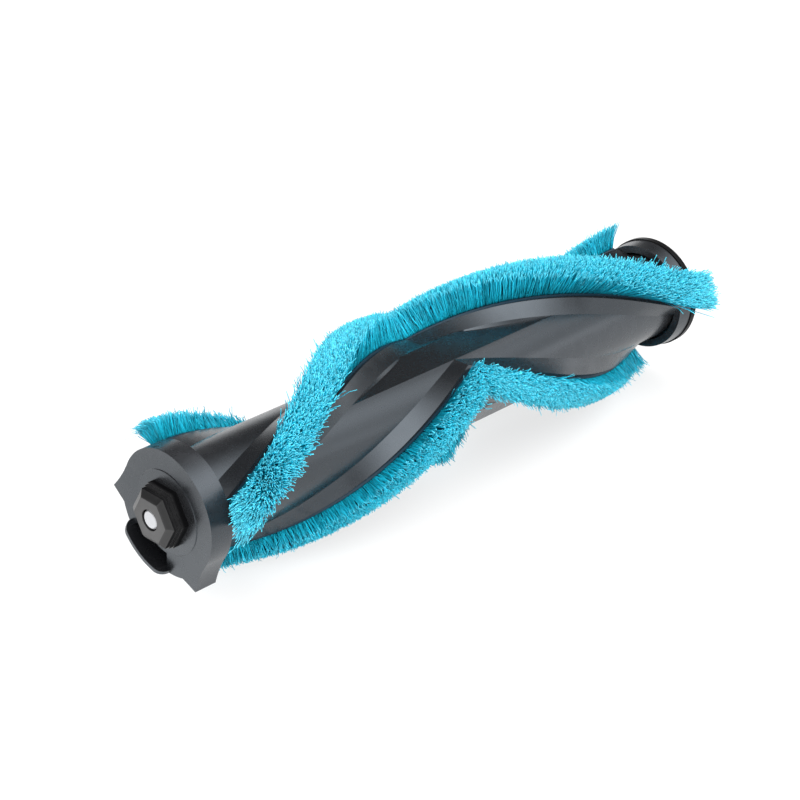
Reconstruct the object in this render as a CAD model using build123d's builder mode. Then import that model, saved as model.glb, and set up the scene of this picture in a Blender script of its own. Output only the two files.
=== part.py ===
import os
from math import atan2, cos, degrees, radians, sin

from build123d import *

os.makedirs("parts", exist_ok=True)

# Roller brush of a floor vacuum. X runs along the roller from the end cap's
# front face to the drive end, Z is up, millimetres throughout.

# End cap, a still moulding that drops into the bay of the vacuum
cap_radius = 15.0
cap_depth = 5.8
plateau_radius = 10.2
plateau_height = 0.18
plateau_chamfer = 0.14
lip_angle = 301.0
lip_outer_radius = 15.7
lip_wall = 0.95
lip_half_angle = 29.0
lip_stand = 2.4
lip_corner = 2.2
ear_angle = 57.5
ear_tip_radius = 18.8
ear_far_foot = 32.0
ear_near_foot = 11.0
ear_bow = 0.4
pocket_inner_radius = 10.8
pocket_half_angle = 26.0
pocket_depth = 4.6
pocket_wall = 0.8
cap_recess_floor = 3.9
cap_boss_wall = 1.6

# Hexagonal bearing block on the cap
hex_turn = 1.0
hex_base_corner = 7.75
hex_base_top = 1.9
hex_step_corner = 7.42
hex_step_top = 2.85
hex_corner = 7.1
hex_chamfer_start = 3.75
hex_front = 4.86
hex_front_corner = 5.4
hex_front_wall = 1.3
spigot_radius = 5.1
spigot_end = 4.6

# Axle, bush and thrust washer
pin_radius = 2.25
pin_front = 4.7
pin_end = 30.0
pin_chamfer = 0.3
bush_wall = 1.25
washer_radius = 4.6
washer_thickness = 0.8

# Core with V ribs, and the flats moulded beside each V
core_start = 6.2
core_middle = 85.05
core_radius = 11.55
core_bore = 8.5
neck_length = 2.3
rib_count = 3
rib_apex_angle = 30.0
left_turn = 138.5
right_turn = 131.5
rib_root = 9.0
rib_base_half = 5.73
rib_base_height = 10.03
rib_top_half = 3.45
rib_top_height = 13.9
flat_tilt = 22.0
flat_half_length = 38.0

# Bristle strips that slide into T slots in the rib tops
slot_lip = 1.0
flange_half = 3.15
flange_thickness = 1.2
web_half = 2.6
web_stand = 0.6
tuft_gap = 0.05
tuft_tip_half = 4.7
tuft_length_left = 5.5
tuft_length_middle = 6.7
tuft_length_right = 6.6

# Axle hub in the bearing end of the core
hub_length = 26.0

# Drive end
collar_width = 4.2
collar_step = 0.35
collar_flare = 0.4
collar_clearance = 0.75
collar_floor = 1.9
collar_spigot_length = 18.0
ring_step = 0.3
ring_width = 2.0
ring_bore = 7.2
ring_chamfer = 0.4
dog_flange_radius = 6.9
dog_stem_radius = 3.8
dog_stem_length = 12.0
dog_across_flats = 8.0
dog_length = 9.0
dog_corner = 0.8
dog_chamfer = 0.7

# Fits
seat_gap = 0.1
running_gap = 0.05
turning_gap = 0.3
end_gap = 0.25
cut_margin = 1.0

# Sizes that follow from the ones above
half_length = core_middle - core_start
core_end = core_middle + half_length
neck_end = core_end + neck_length
collar_face = core_end + seat_gap
collar_end = collar_face + collar_width
rib_step = 360.0 / rib_count
arm_turn = {"left": left_turn, "right": right_turn}
flange_top = rib_top_height - slot_lip
flange_bottom = flange_top - flange_thickness
web_top = rib_top_height + web_stand
tuft_root = web_top + tuft_gap
tuft_tip_left = tuft_root + tuft_length_left
tuft_tip_middle = tuft_root + tuft_length_middle
tuft_tip_right = tuft_root + tuft_length_right
pin_bore = pin_radius + running_gap
bush_radius = pin_bore + bush_wall
cap_hole = spigot_radius + seat_gap
washer_start = spigot_end + end_gap
washer_end = washer_start + washer_thickness
hub_front = washer_end + seat_gap
plug_radius = core_bore - seat_gap
collar_radius = rib_top_height + collar_step
collar_back_radius = collar_radius + collar_flare
collar_inner = core_radius + collar_clearance
ring_radius = collar_back_radius + ring_step
ring_start = collar_end + seat_gap
ring_end = ring_start + ring_width
flat_angle = rib_apex_angle - degrees(atan2(rib_base_half, rib_base_height)) - flat_tilt
flat_distance = core_radius * cos(radians(flat_tilt))


def polar(radius, angle):
    return (radius * cos(radians(angle)), radius * sin(radians(angle)))


def cross_plane(position, angle):
    return Plane((position, 0, 0), x_dir=(0, *polar(1, angle)), z_dir=(1, 0, 0))


lip_plane = cross_plane(0, lip_angle)
lip_side = Plane((0, 0, 0), x_dir=lip_plane.y_dir, z_dir=lip_plane.x_dir)
middle_plane = Plane.YZ.offset(core_middle)


def sector(inner, outer, half_angle):
    with BuildSketch(mode=Mode.PRIVATE) as made:
        with BuildLine():
            outside = CenterArc((0, 0), outer, -half_angle, 2 * half_angle)
            inside = CenterArc((0, 0), inner, -half_angle, 2 * half_angle)
            Line(outside @ 0, inside @ 0)
            Line(outside @ 1, inside @ 1)
        make_face()
    return made.sketch


def ring(outer, inner, start, end):
    with BuildPart(mode=Mode.PRIVATE) as made:
        with BuildSketch(Plane.YZ.offset(start)):
            Circle(outer)
            if inner > 0:
                Circle(inner, mode=Mode.SUBTRACT)
        extrude(amount=end - start)
    return made.part


def arm(outline, side, index):
    # One arm of a V: the outline turns steadily from the core's end to the apex at its middle.
    turn = arm_turn[side]
    end_plane = cross_plane(core_start, rib_apex_angle + turn + index * rib_step)
    with BuildSketch(end_plane, mode=Mode.PRIVATE) as section:
        Polygon(*outline, align=None)
    with BuildPart(mode=Mode.PRIVATE) as made:
        with BuildLine(mode=Mode.PRIVATE) as spine:
            Line((core_start, 0, 0), (core_middle, 0, 0))
        with BuildLine(mode=Mode.PRIVATE) as guide:
            Helix(360.0 * half_length / turn, half_length, core_radius, (core_start, 0, 0), (1, 0, 0),
                  lefthand=True)
        sweep(sections=section.sketch.faces(), path=spine.edge(), binormal=guide.edge())
    if side == "left":
        return made.part
    return mirror(made.part, about=middle_plane, mode=Mode.PRIVATE)


def tee(clearance, top):
    wide = flange_half + clearance
    narrow = web_half + clearance
    low = flange_bottom - clearance
    high = flange_top + clearance
    return [(low, -wide), (high, -wide), (high, -narrow), (top, -narrow),
            (top, narrow), (high, narrow), (high, wide), (low, wide)]


# End cap
with BuildPart() as lip:
    with BuildSketch(lip_plane.offset(-lip_stand)):
        Circle(lip_outer_radius)
        Circle(lip_outer_radius - lip_wall, mode=Mode.SUBTRACT)
    extrude(amount=lip_stand + cap_depth)
    with BuildSketch(lip_side) as lip_shape:
        with Locations((0, (cap_depth - lip_stand) / 2)):
            Rectangle(2 * lip_outer_radius * sin(radians(lip_half_angle)), cap_depth + lip_stand)
        fillet(lip_shape.vertices().sort_by(Axis.Y)[:2], lip_corner)
    extrude(amount=lip_outer_radius + cut_margin, mode=Mode.INTERSECT)

with BuildPart() as end_cap:
    with BuildSketch(lip_plane):
        Circle(cap_radius)
        add(sector(cap_radius - cut_margin, lip_outer_radius, ear_angle))
        for side in (1, -1):
            tip = Vector(*polar(ear_tip_radius, side * ear_angle))
            far_foot = Vector(*polar(cap_radius, side * (ear_angle + ear_far_foot)))
            near_foot = Vector(*polar(lip_outer_radius, side * (ear_angle - ear_near_foot)))
            bow = (tip + far_foot) / 2
            bow = bow - bow.normalized() * ear_bow
            with BuildLine():
                Line(near_foot, tip)
                ThreePointArc(tip, bow, far_foot)
                Line(far_foot, (0, 0))
                Line((0, 0), near_foot)
            make_face()
    extrude(amount=cap_depth)
    with BuildSketch(Plane.YZ):
        Circle(plateau_radius)
    extrude(amount=-plateau_height)
    chamfer(end_cap.faces().sort_by(Axis.X)[0].edges(), plateau_chamfer)
    add(lip.part)
    with BuildSketch(lip_plane):
        add(sector(pocket_inner_radius, lip_outer_radius - lip_wall, pocket_half_angle))
    extrude(amount=pocket_depth, mode=Mode.SUBTRACT)
    add(ring(pocket_inner_radius - pocket_wall, cap_hole + cap_boss_wall, cap_recess_floor, cap_depth),
        mode=Mode.SUBTRACT)
    add(ring(cap_hole, 0, -plateau_height, cap_depth), mode=Mode.SUBTRACT)
end_cap.part.label = "end_cap"
export_step(end_cap.part, "parts/end_cap.step")

# Bearing block
with BuildPart() as bearing_block:
    for corner, foot, top in ((hex_base_corner, plateau_height, hex_base_top),
                              (hex_step_corner, hex_base_top, hex_step_top),
                              (hex_corner, hex_step_top, hex_chamfer_start)):
        with BuildSketch(Plane.YZ.offset(-foot)):
            RegularPolygon(corner, 6, rotation=hex_turn)
        extrude(amount=foot - top)
    with BuildSketch(Plane.YZ.offset(-hex_chamfer_start)):
        RegularPolygon(hex_corner, 6, rotation=hex_turn)
    with BuildSketch(Plane.YZ.offset(-hex_front)):
        RegularPolygon(hex_front_corner, 6, rotation=hex_turn)
    loft()
    add(ring(spigot_radius, 0, -plateau_height, spigot_end))
    add(ring(pin_radius + turning_gap, 0, -hex_front, spigot_end), mode=Mode.SUBTRACT)
    add(ring(bush_radius + seat_gap, 0, hex_front_wall - hex_front, spigot_end), mode=Mode.SUBTRACT)
bearing_block.part.label = "bearing_block"
export_step(bearing_block.part, "parts/bearing_block.step")

# Bush, axle pin and thrust washer
with BuildPart() as bearing_bush:
    add(ring(bush_radius, pin_bore, hex_front_wall - hex_front + seat_gap, spigot_end))
bearing_bush.part.label = "bearing_bush"
export_step(bearing_bush.part, "parts/bearing_bush.step")

with BuildPart() as axle_pin:
    add(ring(pin_radius, 0, -pin_front, pin_end))
    chamfer(axle_pin.edges().filter_by(GeomType.CIRCLE), pin_chamfer)
axle_pin.part.label = "axle_pin"
export_step(axle_pin.part, "parts/axle_pin.step")

with BuildPart() as thrust_washer:
    add(ring(washer_radius, pin_radius + seat_gap, washer_start, washer_end))
thrust_washer.part.label = "thrust_washer"
export_step(thrust_washer.part, "parts/thrust_washer.step")

# Hub pressed into the core to carry the axle pin
with BuildPart() as axle_hub:
    add(ring(plug_radius, 0, core_start, core_start + hub_length))
    add(ring(washer_radius, 0, hub_front, core_start))
    add(ring(pin_bore, 0, hub_front, pin_end + seat_gap), mode=Mode.SUBTRACT)
axle_hub.part.label = "axle_hub"
export_step(axle_hub.part, "parts/axle_hub.step")

# Core: round body with flats, three twisted ribs to each side of the middle, T slots
rib_outline = [(rib_root, -rib_base_half), (rib_base_height, -rib_base_half),
               (rib_top_height, -rib_top_half), (rib_top_height, rib_top_half),
               (rib_base_height, rib_base_half), (rib_root, rib_base_half)]
slot_outline = tee(seat_gap, web_top)
arms = [(side, index) for side in arm_turn for index in range(rib_count)]

with BuildPart() as roller_core:
    add(ring(core_radius, 0, core_start, neck_end))
    with BuildSketch(Plane.YZ.offset(core_middle - flat_half_length)):
        with PolarLocations(0, rib_count, start_angle=flat_angle):
            with Locations((flat_distance + core_radius / 4, 0)):
                Rectangle(core_radius / 2, 2 * core_radius * sin(radians(flat_tilt)))
    extrude(amount=2 * flat_half_length, mode=Mode.SUBTRACT)
    for side, index in arms:
        add(arm(rib_outline, side, index))
    for side, index in arms:
        add(arm(slot_outline, side, index), mode=Mode.SUBTRACT)
    add(ring(core_bore, 0, core_start, neck_end), mode=Mode.SUBTRACT)
roller_core.part.label = "roller_core"
export_step(roller_core.part, "parts/roller_core.step")

# Bristle strips: a T backing and a brush of bristles, two half strips to each V
with BuildPart() as tip_envelope:
    with BuildSketch(Plane.XY):
        with BuildLine():
            cap_end = (core_start, tuft_tip_left)
            drive_end = (core_end, tuft_tip_right)
            ThreePointArc(cap_end, (core_middle, tuft_tip_middle), drive_end)
            Polyline(drive_end, (core_end, 0), (core_start, 0), cap_end)
        make_face()
    revolve(axis=Axis.X)

backing_outline = tee(0, web_top)
tuft_top = tuft_tip_middle + cut_margin
tuft_outline = [(tuft_root, -web_half), (tuft_top, -tuft_tip_half), (tuft_top, tuft_tip_half),
                (tuft_root, web_half)]

for side, index in arms:
    with BuildPart() as backing:
        add(arm(backing_outline, side, index))
    backing.part.label = f"strip_backing_{side}_{index + 1}"
    export_step(backing.part, f"parts/{backing.part.label}.step")
    with BuildPart() as tuft:
        add(arm(tuft_outline, side, index))
        add(tip_envelope.part, mode=Mode.INTERSECT)
    tuft.part.label = f"bristles_{side}_{index + 1}"
    export_step(tuft.part, f"parts/{tuft.part.label}.step")

# Drive end: collar round the core's neck, black end ring and drive dog
with BuildPart() as drive_collar:
    with BuildSketch(Plane.XY):
        Polygon((collar_face, 0), (collar_face, collar_radius),
                (collar_end, collar_back_radius), (collar_end, 0), align=None)
    revolve(axis=Axis.X)
    add(ring(collar_inner, 0, collar_face, collar_end - collar_floor), mode=Mode.SUBTRACT)
    add(ring(plug_radius, 0, neck_end - collar_spigot_length, collar_end))
    add(ring(dog_stem_radius + seat_gap, 0, collar_end - dog_stem_length - seat_gap, collar_end),
        mode=Mode.SUBTRACT)
drive_collar.part.label = "drive_collar"
export_step(drive_collar.part, "parts/drive_collar.step")

with BuildPart() as end_ring:
    add(ring(ring_radius, ring_bore, ring_start, ring_end))
    chamfer(end_ring.faces().sort_by(Axis.X)[-1].outer_wire().edges(), ring_chamfer)
end_ring.part.label = "end_ring"
export_step(end_ring.part, "parts/end_ring.step")

with BuildPart() as drive_dog:
    add(ring(dog_flange_radius, 0, ring_start, ring_end))
    add(ring(dog_stem_radius, 0, collar_end - dog_stem_length, ring_start))
    with BuildSketch(Plane.YZ.offset(ring_end)):
        RectangleRounded(dog_across_flats, dog_across_flats, dog_corner)
    extrude(amount=dog_length)
    chamfer(drive_dog.faces().sort_by(Axis.X)[-1].edges(), dog_chamfer)
drive_dog.part.label = "drive_dog"
export_step(drive_dog.part, "parts/drive_dog.step")
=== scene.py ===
import math
import bpy
import numpy as np
from mathutils import Matrix, Vector


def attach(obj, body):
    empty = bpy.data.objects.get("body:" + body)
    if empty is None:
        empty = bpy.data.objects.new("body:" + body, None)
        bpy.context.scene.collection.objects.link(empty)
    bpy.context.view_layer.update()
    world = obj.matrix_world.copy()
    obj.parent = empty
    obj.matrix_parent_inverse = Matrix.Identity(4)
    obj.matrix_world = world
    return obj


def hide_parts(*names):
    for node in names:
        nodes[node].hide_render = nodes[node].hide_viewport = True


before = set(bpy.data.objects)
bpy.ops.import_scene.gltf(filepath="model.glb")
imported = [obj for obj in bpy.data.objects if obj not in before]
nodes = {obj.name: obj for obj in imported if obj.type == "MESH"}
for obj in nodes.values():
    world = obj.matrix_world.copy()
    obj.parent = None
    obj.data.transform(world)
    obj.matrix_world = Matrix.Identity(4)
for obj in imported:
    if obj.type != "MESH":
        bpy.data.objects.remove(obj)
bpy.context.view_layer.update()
print("frame loaded,", len(nodes), "nodes")


# shader helpers: a number or colour is set on the socket, another node's output is linked to it
def feed(tree, socket, value):
    if isinstance(value, bpy.types.NodeSocket):
        tree.links.new(value, socket)
    else:
        socket.default_value = value


def addNode(tree, kind, spot, **settings):
    node = tree.nodes.new(kind)
    node.location = spot
    for key, value in settings.items():
        setattr(node, key, value)
    return node


def newGroup(name, inputs, outputs):
    tree = bpy.data.node_groups.new(name, "ShaderNodeTree")
    for way, sockets in (("INPUT", inputs), ("OUTPUT", outputs)):
        for label, kind in sockets:
            tree.interface.new_socket(label, in_out=way, socket_type="NodeSocket" + kind)
    return tree, tree.nodes.new("NodeGroupInput"), tree.nodes.new("NodeGroupOutput")


def mathNode(tree, operation, spot, *values):
    node = addNode(tree, "ShaderNodeMath", spot, operation=operation)
    for socket, value in zip(node.inputs, values):
        feed(tree, socket, value)
    return node.outputs[0]


def mixColor(tree, spot, factor, first, second):
    node = addNode(tree, "ShaderNodeMix", spot, data_type="RGBA")
    for place, value in ((0, factor), (6, first), (7, second)):     # the Mix node's colour sockets
        feed(tree, node.inputs[place], value)
    return node.outputs[2]


def scaleColor(tree, spot, color, scale):
    node = addNode(tree, "ShaderNodeVectorMath", spot, operation="SCALE")
    feed(tree, node.inputs[0], color)
    feed(tree, node.inputs["Scale"], scale)
    return node.outputs[0]


def rangeNode(tree, spot, value, low, high, toLow=0.0, toHigh=1.0, curve="LINEAR"):
    node = addNode(tree, "ShaderNodeMapRange", spot, clamp=True, interpolation_type=curve)
    for label, part in (("Value", value), ("From Min", low), ("From Max", high)):
        feed(tree, node.inputs[label], part)
    for label, part in (("To Min", toLow), ("To Max", toHigh)):
        feed(tree, node.inputs[label], part)
    return node.outputs[0]


def noiseNode(tree, spot, vector, scale, detail, roughness=0.5):
    node = addNode(tree, "ShaderNodeTexNoise", spot)
    for label, value in (("Vector", vector), ("Scale", scale), ("Detail", detail), ("Roughness", roughness)):
        feed(tree, node.inputs[label], value)
    return node.outputs["Fac"]


def rampNode(tree, spot, factor, stops):
    node = addNode(tree, "ShaderNodeValToRGB", spot)
    elements = node.color_ramp.elements
    for element, (share, color) in zip(elements, (stops[0], stops[-1])):
        element.position = share
        element.color = (*color, 1)
    for share, color in stops[1:-1]:
        elements.new(share).color = (*color, 1)
    feed(tree, node.inputs[0], factor)
    return node.outputs[0]


def principled(name):
    material = bpy.data.materials.new(name)
    material.use_nodes = True
    return material, material.node_tree, material.node_tree.nodes["Principled BSDF"]


# a group's colour, roughness and height go to the shader, the height through a bump
def groupFinish(tree, shader, group, values, bumpStrength, bumpDepth):
    node = addNode(tree, "ShaderNodeGroup", (-500, 200), node_tree=group)
    for label, value in values.items():
        node.inputs[label].default_value = value
    bump = addNode(tree, "ShaderNodeBump", (-250, -200))
    bump.inputs["Strength"].default_value = bumpStrength
    bump.inputs["Distance"].default_value = bumpDepth
    tree.links.new(node.outputs["Height"], bump.inputs["Height"])
    tree.links.new(bump.outputs[0], shader.inputs["Normal"])
    tree.links.new(node.outputs["Color"], shader.inputs["Base Color"])
    tree.links.new(node.outputs["Roughness"], shader.inputs["Roughness"])


def dress(names, material):
    for name in names:
        mesh = nodes[name].data
        mesh.materials.clear()
        mesh.materials.append(material)


finishOutputs = [("Color", "Color"), ("Roughness", "Float"), ("Height", "Float")]
noiseMiddle = 0.5

# moulded plastic: fine tool texture, faint flow clouds and a painted highlight along sharp edges
mouldedForm = dict(grainDetail=2.0, cloudScale=55.0, cloudDetail=4.0, cloudRough=0.6, smearScale=240.0,
                   smearDetail=5.0, smearRough=0.65, edgeFrom=0.52, edgeFull=0.62, roughSpread=0.16,
                   bumpDepth=0.00006, mirrorTint=(0.78, 0.89, 1.0))


def makeMouldedGroup(form):
    inputs = [("Tone", "Color"), ("Highlight Tone", "Color"), ("Roughness", "Float"), ("Grain Scale", "Float"),
              ("Cloud", "Float"), ("Edge", "Float")]
    tree, given, made = newGroup("mouldedFinish", inputs, finishOutputs)
    place = addNode(tree, "ShaderNodeTexCoord", (-900, 0)).outputs["Object"]
    grain = noiseNode(tree, (-650, 200), place, given.outputs["Grain Scale"], form["grainDetail"])
    cloud = noiseNode(tree, (-650, -50), place, form["cloudScale"], form["cloudDetail"], form["cloudRough"])
    smear = noiseNode(tree, (-650, -300), place, form["smearScale"], form["smearDetail"], form["smearRough"])
    # painted highlight: sharp edges, found by pointiness and broken up by the smear noise, take the lighter
    # highlight colour
    point = addNode(tree, "ShaderNodeNewGeometry", (-650, 450)).outputs["Pointiness"]
    edge = rangeNode(tree, (-420, 450), point, form["edgeFrom"], form["edgeFull"])
    edge = mathNode(tree, "MULTIPLY", (-200, 450), edge, given.outputs["Edge"])
    edge = mathNode(tree, "MULTIPLY", (-50, 450), edge, smear)
    shade = mathNode(tree, "SUBTRACT", (-420, -50), cloud, noiseMiddle)
    shade = mathNode(tree, "MULTIPLY", (-270, -50), shade, given.outputs["Cloud"])
    shade = mathNode(tree, "ADD", (-120, -50), shade, 1.0)
    tone = scaleColor(tree, (50, -50), given.outputs["Tone"], shade)
    color = mixColor(tree, (250, 100), edge, tone, given.outputs["Highlight Tone"])
    tree.links.new(color, made.inputs["Color"])
    rough = mathNode(tree, "SUBTRACT", (-420, -300), smear, noiseMiddle)
    rough = mathNode(tree, "MULTIPLY", (-270, -300), rough, form["roughSpread"])
    rough = mathNode(tree, "ADD", (-120, -300), rough, given.outputs["Roughness"])
    tree.links.new(rough, made.inputs["Roughness"])
    tree.links.new(grain, made.inputs["Height"])
    return tree


mouldedGroup = makeMouldedGroup(mouldedForm)


# only faces square to the roller's axis carry the gloss; the sides stay dull and dark as painted shade
def glossyFront(tree, shader, look):
    surface = addNode(tree, "ShaderNodeNewGeometry", (-900, -400))
    split = addNode(tree, "ShaderNodeSeparateXYZ", (-700, -400))
    tree.links.new(surface.outputs["True Normal"], split.inputs[0])
    facing = mathNode(tree, "ABSOLUTE", (-500, -400), split.outputs["X"])
    shine = rangeNode(tree, (-300, -400), facing, look["shineFrom"], look["shineFull"])
    tree.links.new(shine, shader.inputs["Coat Weight"])
    shader.inputs["Coat IOR"].default_value = look["frontIor"]
    shader.inputs["Coat Roughness"].default_value = look["roughness"]


def mouldedPlastic(name, look):
    material, tree, shader = principled(name)
    values = {"Tone": (*look["tone"], 1), "Highlight Tone": (*look["highlightTone"], 1), "Roughness": look["roughness"],
              "Grain Scale": look["grainScale"], "Cloud": look["cloud"], "Edge": look["edge"]}
    groupFinish(tree, shader, mouldedGroup, values, look["bump"], mouldedForm["bumpDepth"])
    shader.inputs["Specular IOR Level"].default_value = look["specular"]
    # the blue tint of the reflections is painted: it stands for a bluish cast of the light on the plastic
    shader.inputs["Specular Tint"].default_value = (*mouldedForm["mirrorTint"], 1)
    if "frontIor" in look:
        glossyFront(tree, shader, look)
    return material


# rigid plastic pieces
# in each look the lighter second colour and the edge value make the painted highlight along sharp edges
capLook = dict(tone=(0.0065, 0.0069, 0.0078), highlightTone=(0.06, 0.06, 0.064), roughness=0.27, grainScale=2600.0,
               cloud=0.2, edge=0.35, bump=0.05, specular=0.85)
# the block's darker tone and its dull sides are painted shade; its faces square to the axis get gloss back
blockLook = dict(tone=(0.003, 0.003, 0.0033), highlightTone=(0.07, 0.07, 0.072), roughness=0.34, grainScale=2600.0,
                 cloud=0.15, edge=0.5, bump=0.05, specular=0.02, frontIor=1.65, shineFrom=0.6, shineFull=0.9)
ringLook = dict(tone=(0.003, 0.003, 0.0033), highlightTone=(0.03, 0.03, 0.03), roughness=0.3, grainScale=2600.0,
                cloud=0.15, edge=0.3, bump=0.1, specular=0.05)
washerLook = dict(tone=(0.62, 0.6, 0.54), highlightTone=(0.7, 0.69, 0.64), roughness=0.45, grainScale=2000.0,
                  cloud=0.1, edge=0.2, bump=0.15, specular=0.5)
backingLook = dict(tone=(0.004, 0.018, 0.03), highlightTone=(0.02, 0.05, 0.07), roughness=0.5, grainScale=1500.0,
                   cloud=0.25, edge=0.2, bump=0.2, specular=0.35)

halves = [side + "_" + str(number) for side in ("left", "right") for number in (1, 2, 3)]
dress(["end_cap", "roller_core", "drive_collar", "axle_hub"], mouldedPlastic("greyMoulding", capLook))
dress(["bearing_block"], mouldedPlastic("blockMoulding", blockLook))
dress(["end_ring", "drive_dog"], mouldedPlastic("blackMoulding", ringLook))
dress(["thrust_washer"], mouldedPlastic("washerNylon", washerLook))
dress(["strip_backing_" + half for half in halves], mouldedPlastic("stripBacking", backingLook))
print("plastic pieces dressed")

# turned metal: fine rings round the axle
turnedForm = dict(ringDetail=2.0, bump=0.1, bumpDepth=0.00003)


def makeTurnedGroup(form):
    inputs = [("Dark", "Color"), ("Light", "Color"), ("Ring Scale", "Float"), ("Rough Low", "Float"),
              ("Rough High", "Float")]
    tree, given, made = newGroup("turnedRings", inputs, finishOutputs)
    place = addNode(tree, "ShaderNodeTexCoord", (-1000, 0)).outputs["Object"]
    split = addNode(tree, "ShaderNodeSeparateXYZ", (-800, 0))
    tree.links.new(place, split.inputs[0])
    across = mathNode(tree, "POWER", (-600, 100), split.outputs["Y"], 2.0)
    upward = mathNode(tree, "POWER", (-600, -100), split.outputs["Z"], 2.0)
    reach = mathNode(tree, "SQRT", (-300, 0), mathNode(tree, "ADD", (-450, 0), across, upward))
    combine = addNode(tree, "ShaderNodeCombineXYZ", (-150, 0))
    tree.links.new(reach, combine.inputs["X"])
    rings = noiseNode(tree, (0, 0), combine.outputs[0], given.outputs["Ring Scale"], form["ringDetail"])
    roughEnds = given.outputs["Rough Low"], given.outputs["Rough High"]
    rough = rangeNode(tree, (200, -150), rings, 0.0, 1.0, *roughEnds)
    color = mixColor(tree, (200, 150), rings, given.outputs["Dark"], given.outputs["Light"])
    tree.links.new(color, made.inputs["Color"])
    tree.links.new(rough, made.inputs["Roughness"])
    tree.links.new(rings, made.inputs["Height"])
    return tree


turnedGroup = makeTurnedGroup(turnedForm)


def turnedMetal(name, look):
    material, tree, shader = principled(name)
    values = {"Dark": (*look["dark"], 1), "Light": (*look["light"], 1), "Ring Scale": look["ringScale"],
              "Rough Low": look["roughLow"], "Rough High": look["roughHigh"]}
    groupFinish(tree, shader, turnedGroup, values, turnedForm["bump"], turnedForm["bumpDepth"])
    shader.inputs["Metallic"].default_value = look["metallic"]
    return material


pinLook = dict(ringScale=9000.0, dark=(0.48, 0.49, 0.51), light=(0.62, 0.63, 0.65), roughLow=0.3,
               roughHigh=0.45, metallic=0.75)
bushLook = dict(ringScale=7000.0, dark=(0.32, 0.2, 0.09), light=(0.5, 0.33, 0.16), roughLow=0.35,
                roughHigh=0.55, metallic=1.0)
dress(["axle_pin"], turnedMetal("groundSteel", pinLook))
dress(["bearing_bush"], turnedMetal("sinteredBronze", bushLook))
print("metal pieces dressed")

# bristles: every fibre is a slim three-sided rod, with painted shade at its root and deep between the inner
# fibres
bristleLook = dict(rootShadeColor=(0.002, 0.03, 0.06), bodyColor=(0.008, 0.41, 0.57),
                   tipColor=(0.085, 0.56, 0.71), rootShare=0.02, bodyShare=0.1, tipShare=0.8,
                   tintLow=0.44, tintHigh=1.35, roughness=0.45, specular=0.28)
# lengths in millimetres and angles in degrees; shares run from 0 at the root to 1 at the tip
stripForm = dict(middle=85.05, apex=30.0, spacing=120.0, root=14.4, rootHalf=2.45,
                 fibres=7400, crossStep=0.6180339887, crossJitter=0.03,
                 thickness=0.12, thickLow=0.85, thickRange=0.3, slim=(1.0, 0.95, 0.92, 0.85),
                 levels=(0.0, 0.5, 0.8, 1.0), bend=0.14, kink=0.36, leanSide=0.3, leanAlong=0.45,
                 sideCross=1.4, crossPower=4, stray=0.03, strayLean=2.4, strayAlong=0.6,
                 tipSpread=0.22, trimPower=4, dome=2.1, domePower=3, endDome=0.6, splayPower=1.5,
                 endPack=0.5, packReach=0.18, endFace=0.9, faceShare=1.5, endLight=0.6,
                 innerReach=0.62, outerReach=0.86, innerShadeAlong=(0.0, -0.05, 0.45, 1.0),
                 tintMiddle=0.5, tintSpread=0.22)
sideForms = dict(left=dict(begin=6.25, turn=138.5, outward=-1.0, endReach=15.0, bendPower=4.0, seed=41),
                 right=dict(begin=163.6, turn=131.5, outward=1.0, endReach=9.0, bendPower=1.5, seed=51))
tipForms = [dict(tip=23.0, half=5.1, sway=dict(left=0.0, right=0.0), trim=dict(left=-0.9, right=0.5),
                 driveSplay=4.6),
            dict(tip=20.1, half=4.15, sway=dict(left=0.2, right=1.7), trim=dict(left=-0.9, right=0.5),
                 driveSplay=3.6),
            dict(tip=20.2, half=4.4, sway=dict(left=0.0, right=0.0), trim=dict(left=0.0, right=0.5),
                 driveSplay=5.6)]
# at the cap the fibres stay behind its back face and bend over just above its ears
capForm = dict(splay=5.6, free=19.2, rise=2.8, back=5.95, earTop=19.1, earMargin=0.1)
millimetre = 0.001
corners = 3


def bristleMaterial(look):
    material, tree, shader = principled("bristleNylon")
    along = addNode(tree, "ShaderNodeAttribute", (-900, 200), attribute_name="along").outputs["Fac"]
    tint = addNode(tree, "ShaderNodeAttribute", (-900, -100), attribute_name="tint").outputs["Fac"]
    # the dark root colour is painted shade at the foot of the fibres
    stops = [(look["rootShare"], look["rootShadeColor"]), (look["bodyShare"], look["bodyColor"]),
             (look["tipShare"], look["bodyColor"]), (1.0, look["tipColor"])]
    tone = rampNode(tree, (-650, 200), along, stops)
    spread = rangeNode(tree, (-650, -100), tint, 0.0, 1.0, look["tintLow"], look["tintHigh"])
    tree.links.new(scaleColor(tree, (-350, 100), tone, spread), shader.inputs["Base Color"])
    shader.inputs["Roughness"].default_value = look["roughness"]
    shader.inputs["Specular IOR Level"].default_value = look["specular"]
    return material
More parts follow.
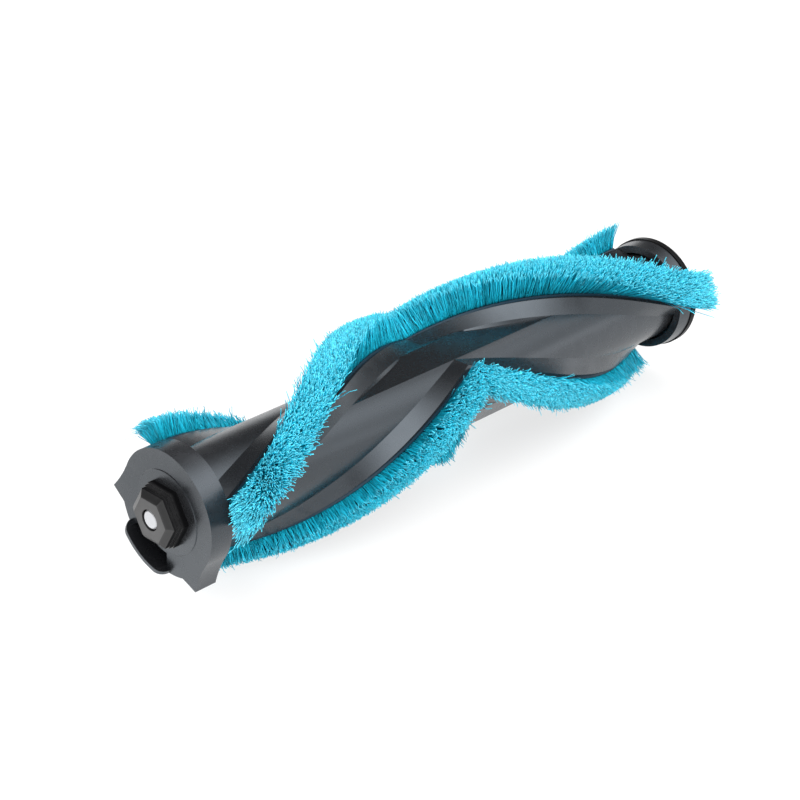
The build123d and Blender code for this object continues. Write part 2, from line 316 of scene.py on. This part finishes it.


# points of all fibres of a half strip in metres, their painted shade from root to tip and their tint
def fibreShape(form, ends, side, number):
    end = sideForms[side]
    count = form["fibres"]
    dice = np.random.default_rng(end["seed"] + number)
    step = np.arange(count)
    reach = (step + dice.random(count)) / count                     # 0 at the end, 1 at the V
    reach = reach * (1 - form["endPack"] * np.exp(-reach / form["packReach"]))
    cross = 2 * ((step * form["crossStep"] + dice.random(count) * form["crossJitter"]) % 1.0) - 1
    x = end["begin"] + (form["middle"] - end["begin"]) * reach
    away = np.abs(x - form["middle"])
    half = abs(form["middle"] - end["begin"])
    fromEnd = np.abs(x - end["begin"])
    nearEnd = np.clip(1 - fromEnd / end["endReach"], 0, 1)

    # how high the tips stand and where they lean
    tip = ends["tip"] + ends["trim"][side] * (away / half) ** form["trimPower"]
    tip = tip - form["dome"] * (1 - form["endDome"] * nearEnd) * np.abs(cross) ** form["domePower"]
    tip = tip + dice.normal(0, form["tipSpread"], count)
    sideTip = cross * ends["half"] + ends["sway"][side] * (1 - 2 * away / half)
    sideTip = sideTip + dice.normal(0, form["leanSide"], count)
    alongTip = dice.normal(0, form["leanAlong"], count)
    alongTip = alongTip * (1 + form["sideCross"] * cross ** form["crossPower"])
    strays = dice.random(count) < form["stray"]
    sideTip = sideTip + strays * np.sign(cross) * dice.random(count) * form["strayLean"]
    alongTip = alongTip + strays * dice.normal(0, form["strayLean"] * form["strayAlong"], count)
    splay = ends["driveSplay"]
    if side == "left":                                              # only tips above the ears fan out
        splay = capForm["splay"] * np.clip((tip - capForm["free"]) / capForm["rise"], 0, 1)
    splayTip = end["outward"] * splay * nearEnd ** form["splayPower"]

    bendSide = dice.normal(0, form["bend"], count)
    bendAlong = dice.normal(0, form["bend"], count)
    tint = np.clip(dice.normal(form["tintMiddle"], form["tintSpread"], count), 0, 1)
    rodTurn = dice.random(count) * 2 * math.pi
    thick = form["thickness"] * (form["thickLow"] + form["thickRange"] * dice.random(count))
    kinkSide = dice.normal(0, form["kink"], count)
    kinkAlong = dice.normal(0, form["kink"], count)

    angle = np.radians(form["apex"] + form["spacing"] * (number - 1) + end["turn"] * away / half)
    levels = np.tile(form["levels"], (count, 1))
    if side == "left":                                              # a bend just above the ears of the cap
        bendShare = (capForm["earTop"] - form["root"]) / (tip - form["root"])
        levels[:, 1] = np.clip(bendShare, *form["levels"][1:3])
        levels[:, 2] = (levels[:, 1] + 1) / 2
    rows = len(form["slim"])
    points = np.zeros((count, rows, corners, 3))
    for level, width in enumerate(form["slim"]):
        share = levels[:, level]
        bow = np.sin(math.pi * share)
        kinked = 1.0 if level == rows - 1 else 0.0
        height = form["root"] + (tip - form["root"]) * share
        sideways = cross * form["rootHalf"] * (1 - share) + sideTip * share
        sideways = sideways + bendSide * bow + kinkSide * kinked
        lengthways = x + alongTip * share + bendAlong * bow
        lengthways = lengthways + splayTip * share ** end["bendPower"] + kinkAlong * kinked
        if side == "left":
            low = height < capForm["earTop"] + capForm["earMargin"]
            lengthways = np.where(low, np.maximum(lengthways, capForm["back"]), lengthways)
        for corner in range(corners):
            cornerTurn = rodTurn + corner * 2 * math.pi / corners
            beside = sideways + thick * width * np.cos(cornerTurn)
            points[:, level, corner, 0] = lengthways + thick * width * np.sin(cornerTurn)
            points[:, level, corner, 1] = height * np.cos(angle) - beside * np.sin(angle)
            points[:, level, corner, 2] = height * np.sin(angle) + beside * np.cos(angle)

    # painted shade: inner fibres stay dark far up their length, the outer ones and those at the strip's ends
    # stay light
    outer = (np.abs(cross) - form["innerReach"]) / (form["outerReach"] - form["innerReach"])
    outer = np.clip(outer, 0, 1)
    outer = np.maximum(outer, np.clip(form["faceShare"] - fromEnd / form["endFace"], 0, 1))
    outer = np.maximum(outer, form["endLight"] * nearEnd)
    inner = np.array(form["innerShadeAlong"])
    along = inner + (levels - inner) * outer[:, None]               # painted shade between the inner fibres
    return points * millimetre, along, tint


# four-sided faces round each rod, and a three-sided one at its root and tip
def rodFaces(count, rows):
    sides = [(level * corners + corner, level * corners + (corner + 1) % corners)
             for level in range(rows - 1) for corner in range(corners)]
    quads = np.array([[here, beside, beside + corners, here + corners] for here, beside in sides])
    top = corners * (rows - 1)
    caps = np.array([[0, 2, 1], [top, top + 1, top + 2]])
    base = (np.arange(count) * rows * corners)[:, None, None]
    loops = np.concatenate([(base + faces).reshape(-1) for faces in (quads, caps)])
    sizes = np.concatenate([np.full(count * len(faces), faces.shape[1]) for faces in (quads, caps)])
    starts = np.concatenate([[0], np.cumsum(sizes)[:-1]])
    return loops.astype(np.int32), starts.astype(np.int32)


def fibreMesh(name, points, along, tint):
    count, rows = along.shape
    loops, starts = rodFaces(count, rows)
    mesh = bpy.data.meshes.new(name)
    mesh.vertices.add(count * rows * corners)
    mesh.vertices.foreach_set("co", points.reshape(-1).astype(np.float32))
    mesh.loops.add(len(loops))
    mesh.loops.foreach_set("vertex_index", loops)
    mesh.polygons.add(len(starts))
    mesh.polygons.foreach_set("loop_start", starts)
    mesh.update(calc_edges=True)
    mesh.validate()
    shades = dict(along=np.repeat(along.reshape(-1), corners), tint=np.repeat(tint, rows * corners))
    for label, values in shades.items():
        layer = mesh.attributes.new(label, "FLOAT", "POINT")
        layer.data.foreach_set("value", values.astype(np.float32))
    return mesh


bristleSkin = bristleMaterial(bristleLook)
for half in halves:
    side, number = half.split("_")
    name = "bristleStrip_" + half
    mesh = fibreMesh(name, *fibreShape(stripForm, tipForms[int(number) - 1], side, int(number)))
    mesh.materials.append(bristleSkin)
    strip = bpy.data.objects.new(name, mesh)
    bpy.context.scene.collection.objects.link(strip)
    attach(strip, "roller")
    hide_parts("bristles_" + half)
print("bristle strips made")

# studio: pale floor that glows evenly, with a painted pool of light at the foot of the cap, a large soft key
# from the front right, a bright band round the horizon with a dark gap at the front
floorForm = dict(size=6.0, level=-0.0234, tone=(0.25, 0.25, 0.25), speckScale=30.0, speckDetail=4.0,
                 speckShade=0.985, roughness=0.8, specular=0.1, glow=0.63,
                 footSpot=(-0.012, 0.014, -0.0234), footReach=0.036, paintedFootGlow=0.45)
skyForm = dict(base=0.08, keyToward=(0.159, -0.595, 0.788), keyPower=3.7,
               keyStops=((0.5, 0.0), (0.68, 0.12), (0.8, 0.3), (0.92, 0.72), (0.97, 1.0)),
               darkToward=(-0.259, -0.966, 0.0), darkFrom=0.64, darkFull=0.866,
               bandStops=((0.0, 1.55), (0.15, 1.3), (0.3, 0.35), (0.42, 0.0), (1.0, 0.0)))
lamps = [dict(name="topSoftbox", spot=(0.0, -0.1, 1.1), aim=(0.08, 0, 0), size=1.4, power=9.0),
         dict(name="sideFill", spot=(-0.7, -0.5, 0.5), aim=(0.05, 0, 0), size=0.9, power=8.0),
         dict(name="frontFill", spot=(-0.1, -0.9, 0.35), aim=(0.08, 0, 0), size=0.9, power=6.0),
         dict(name="backFill", spot=(-0.1, 0.9, 0.45), aim=(0.08, 0, 0), size=0.9, power=11.0)]
cameraForm = dict(spot=(-0.226049, -0.295527, 0.213978), right=(0.70388, -0.71032, 0.0),
                  up=(0.32072, 0.31781, 0.89226), back=(-0.63379, -0.62804, 0.45152),
                  sensor=36.0, lens=87.84, clipStart=0.01, clipEnd=20.0)


def makeFloor(form):
    half = form["size"] / 2
    rim = [(-half, -half), (half, -half), (half, half), (-half, half)]
    mesh = bpy.data.meshes.new("studioFloor")
    mesh.from_pydata([(x, y, form["level"]) for x, y in rim], [], [(0, 1, 2, 3)])
    material, tree, shader = principled("paleFloor")
    place = addNode(tree, "ShaderNodeTexCoord", (-700, 0)).outputs["Object"]
    speck = noiseNode(tree, (-500, 0), place, form["speckScale"], form["speckDetail"])
    pale = (*form["tone"], 1)
    shaded = (*(part * form["speckShade"] for part in form["tone"]), 1)
    tree.links.new(mixColor(tree, (-250, 100), speck, pale, shaded), shader.inputs["Base Color"])
    shader.inputs["Roughness"].default_value = form["roughness"]
    shader.inputs["Specular IOR Level"].default_value = form["specular"]
    shader.inputs["Emission Color"].default_value = (1, 1, 1, 1)
    # painted pool of light: the floor glows brighter near the cap's foot, filling the shadow there and
    # lifting the reflections in the cap's lower faces
    gap = addNode(tree, "ShaderNodeVectorMath", (-500, -250), operation="DISTANCE")
    gap.inputs[1].default_value = form["footSpot"]
    tree.links.new(place, gap.inputs[0])
    glow = rangeNode(tree, (-250, -250), gap.outputs["Value"], 0.0, form["footReach"],
                     form["glow"] + form["paintedFootGlow"], form["glow"], "SMOOTHSTEP")
    tree.links.new(glow, shader.inputs["Emission Strength"])
    mesh.materials.append(material)
    floor = bpy.data.objects.new("studioFloor", mesh)
    bpy.context.scene.collection.objects.link(floor)


def makeLamp(form):
    data = bpy.data.lights.new(form["name"], "AREA")
    data.size = form["size"]
    data.energy = form["power"]
    lamp = bpy.data.objects.new(form["name"], data)
    lamp.location = form["spot"]
    lamp.visible_glossy = False                                     # no lamp shows in the gloss
    toward = Vector(form["aim"]) - Vector(form["spot"])
    lamp.rotation_euler = toward.to_track_quat("-Z", "Y").to_euler()
    bpy.context.scene.collection.objects.link(lamp)


def directionShare(tree, spot, toward, aim):
    node = addNode(tree, "ShaderNodeVectorMath", spot, operation="DOT_PRODUCT")
    node.inputs[1].default_value = aim
    tree.links.new(toward, node.inputs[0])
    return node.outputs["Value"]


def greyStops(stops):
    return [(share, (glow, glow, glow)) for share, glow in stops]


def makeWorld(form):
    world = bpy.data.worlds.new("studioWorld")
    world.use_nodes = True
    tree = world.node_tree
    backdrop = tree.nodes["Background"]
    backdrop.inputs["Color"].default_value = (1, 1, 1, 1)
    toward = addNode(tree, "ShaderNodeTexCoord", (-900, 0)).outputs["Generated"]
    split = addNode(tree, "ShaderNodeSeparateXYZ", (-700, 0))
    tree.links.new(toward, split.inputs[0])
    band = rampNode(tree, (-500, 0), split.outputs["Z"], greyStops(form["bandStops"]))
    side = directionShare(tree, (-700, -250), toward, form["darkToward"])
    side = rangeNode(tree, (-500, -250), side, form["darkFrom"], form["darkFull"], 1.0, 0.0)
    key = directionShare(tree, (-700, -500), toward, form["keyToward"])
    key = rampNode(tree, (-500, -500), key, greyStops(form["keyStops"]))
    key = mathNode(tree, "MULTIPLY", (-200, -400), key, form["keyPower"])
    strength = mathNode(tree, "MULTIPLY", (-200, -100), band, side)
    strength = mathNode(tree, "ADD", (-50, -200), strength, key)
    strength = mathNode(tree, "ADD", (100, -200), strength, form["base"])
    tree.links.new(strength, backdrop.inputs["Strength"])
    bpy.context.scene.world = world


def makeCamera(form):
    data = bpy.data.cameras.new("studioCamera")
    data.sensor_width = form["sensor"]
    data.lens = form["lens"]
    data.clip_start = form["clipStart"]
    data.clip_end = form["clipEnd"]
    camera = bpy.data.objects.new("studioCamera", data)
    turn = Matrix((form["right"], form["up"], form["back"])).transposed().to_4x4()
    camera.matrix_world = Matrix.Translation(form["spot"]) @ turn
    bpy.context.scene.collection.objects.link(camera)
    bpy.context.scene.camera = camera


makeFloor(floorForm)
for lampForm in lamps:
    makeLamp(lampForm)
makeWorld(skyForm)
makeCamera(cameraForm)
bpy.context.scene.view_settings.view_transform = "Standard"
print("studio ready")

bpy.context.view_layer.update()
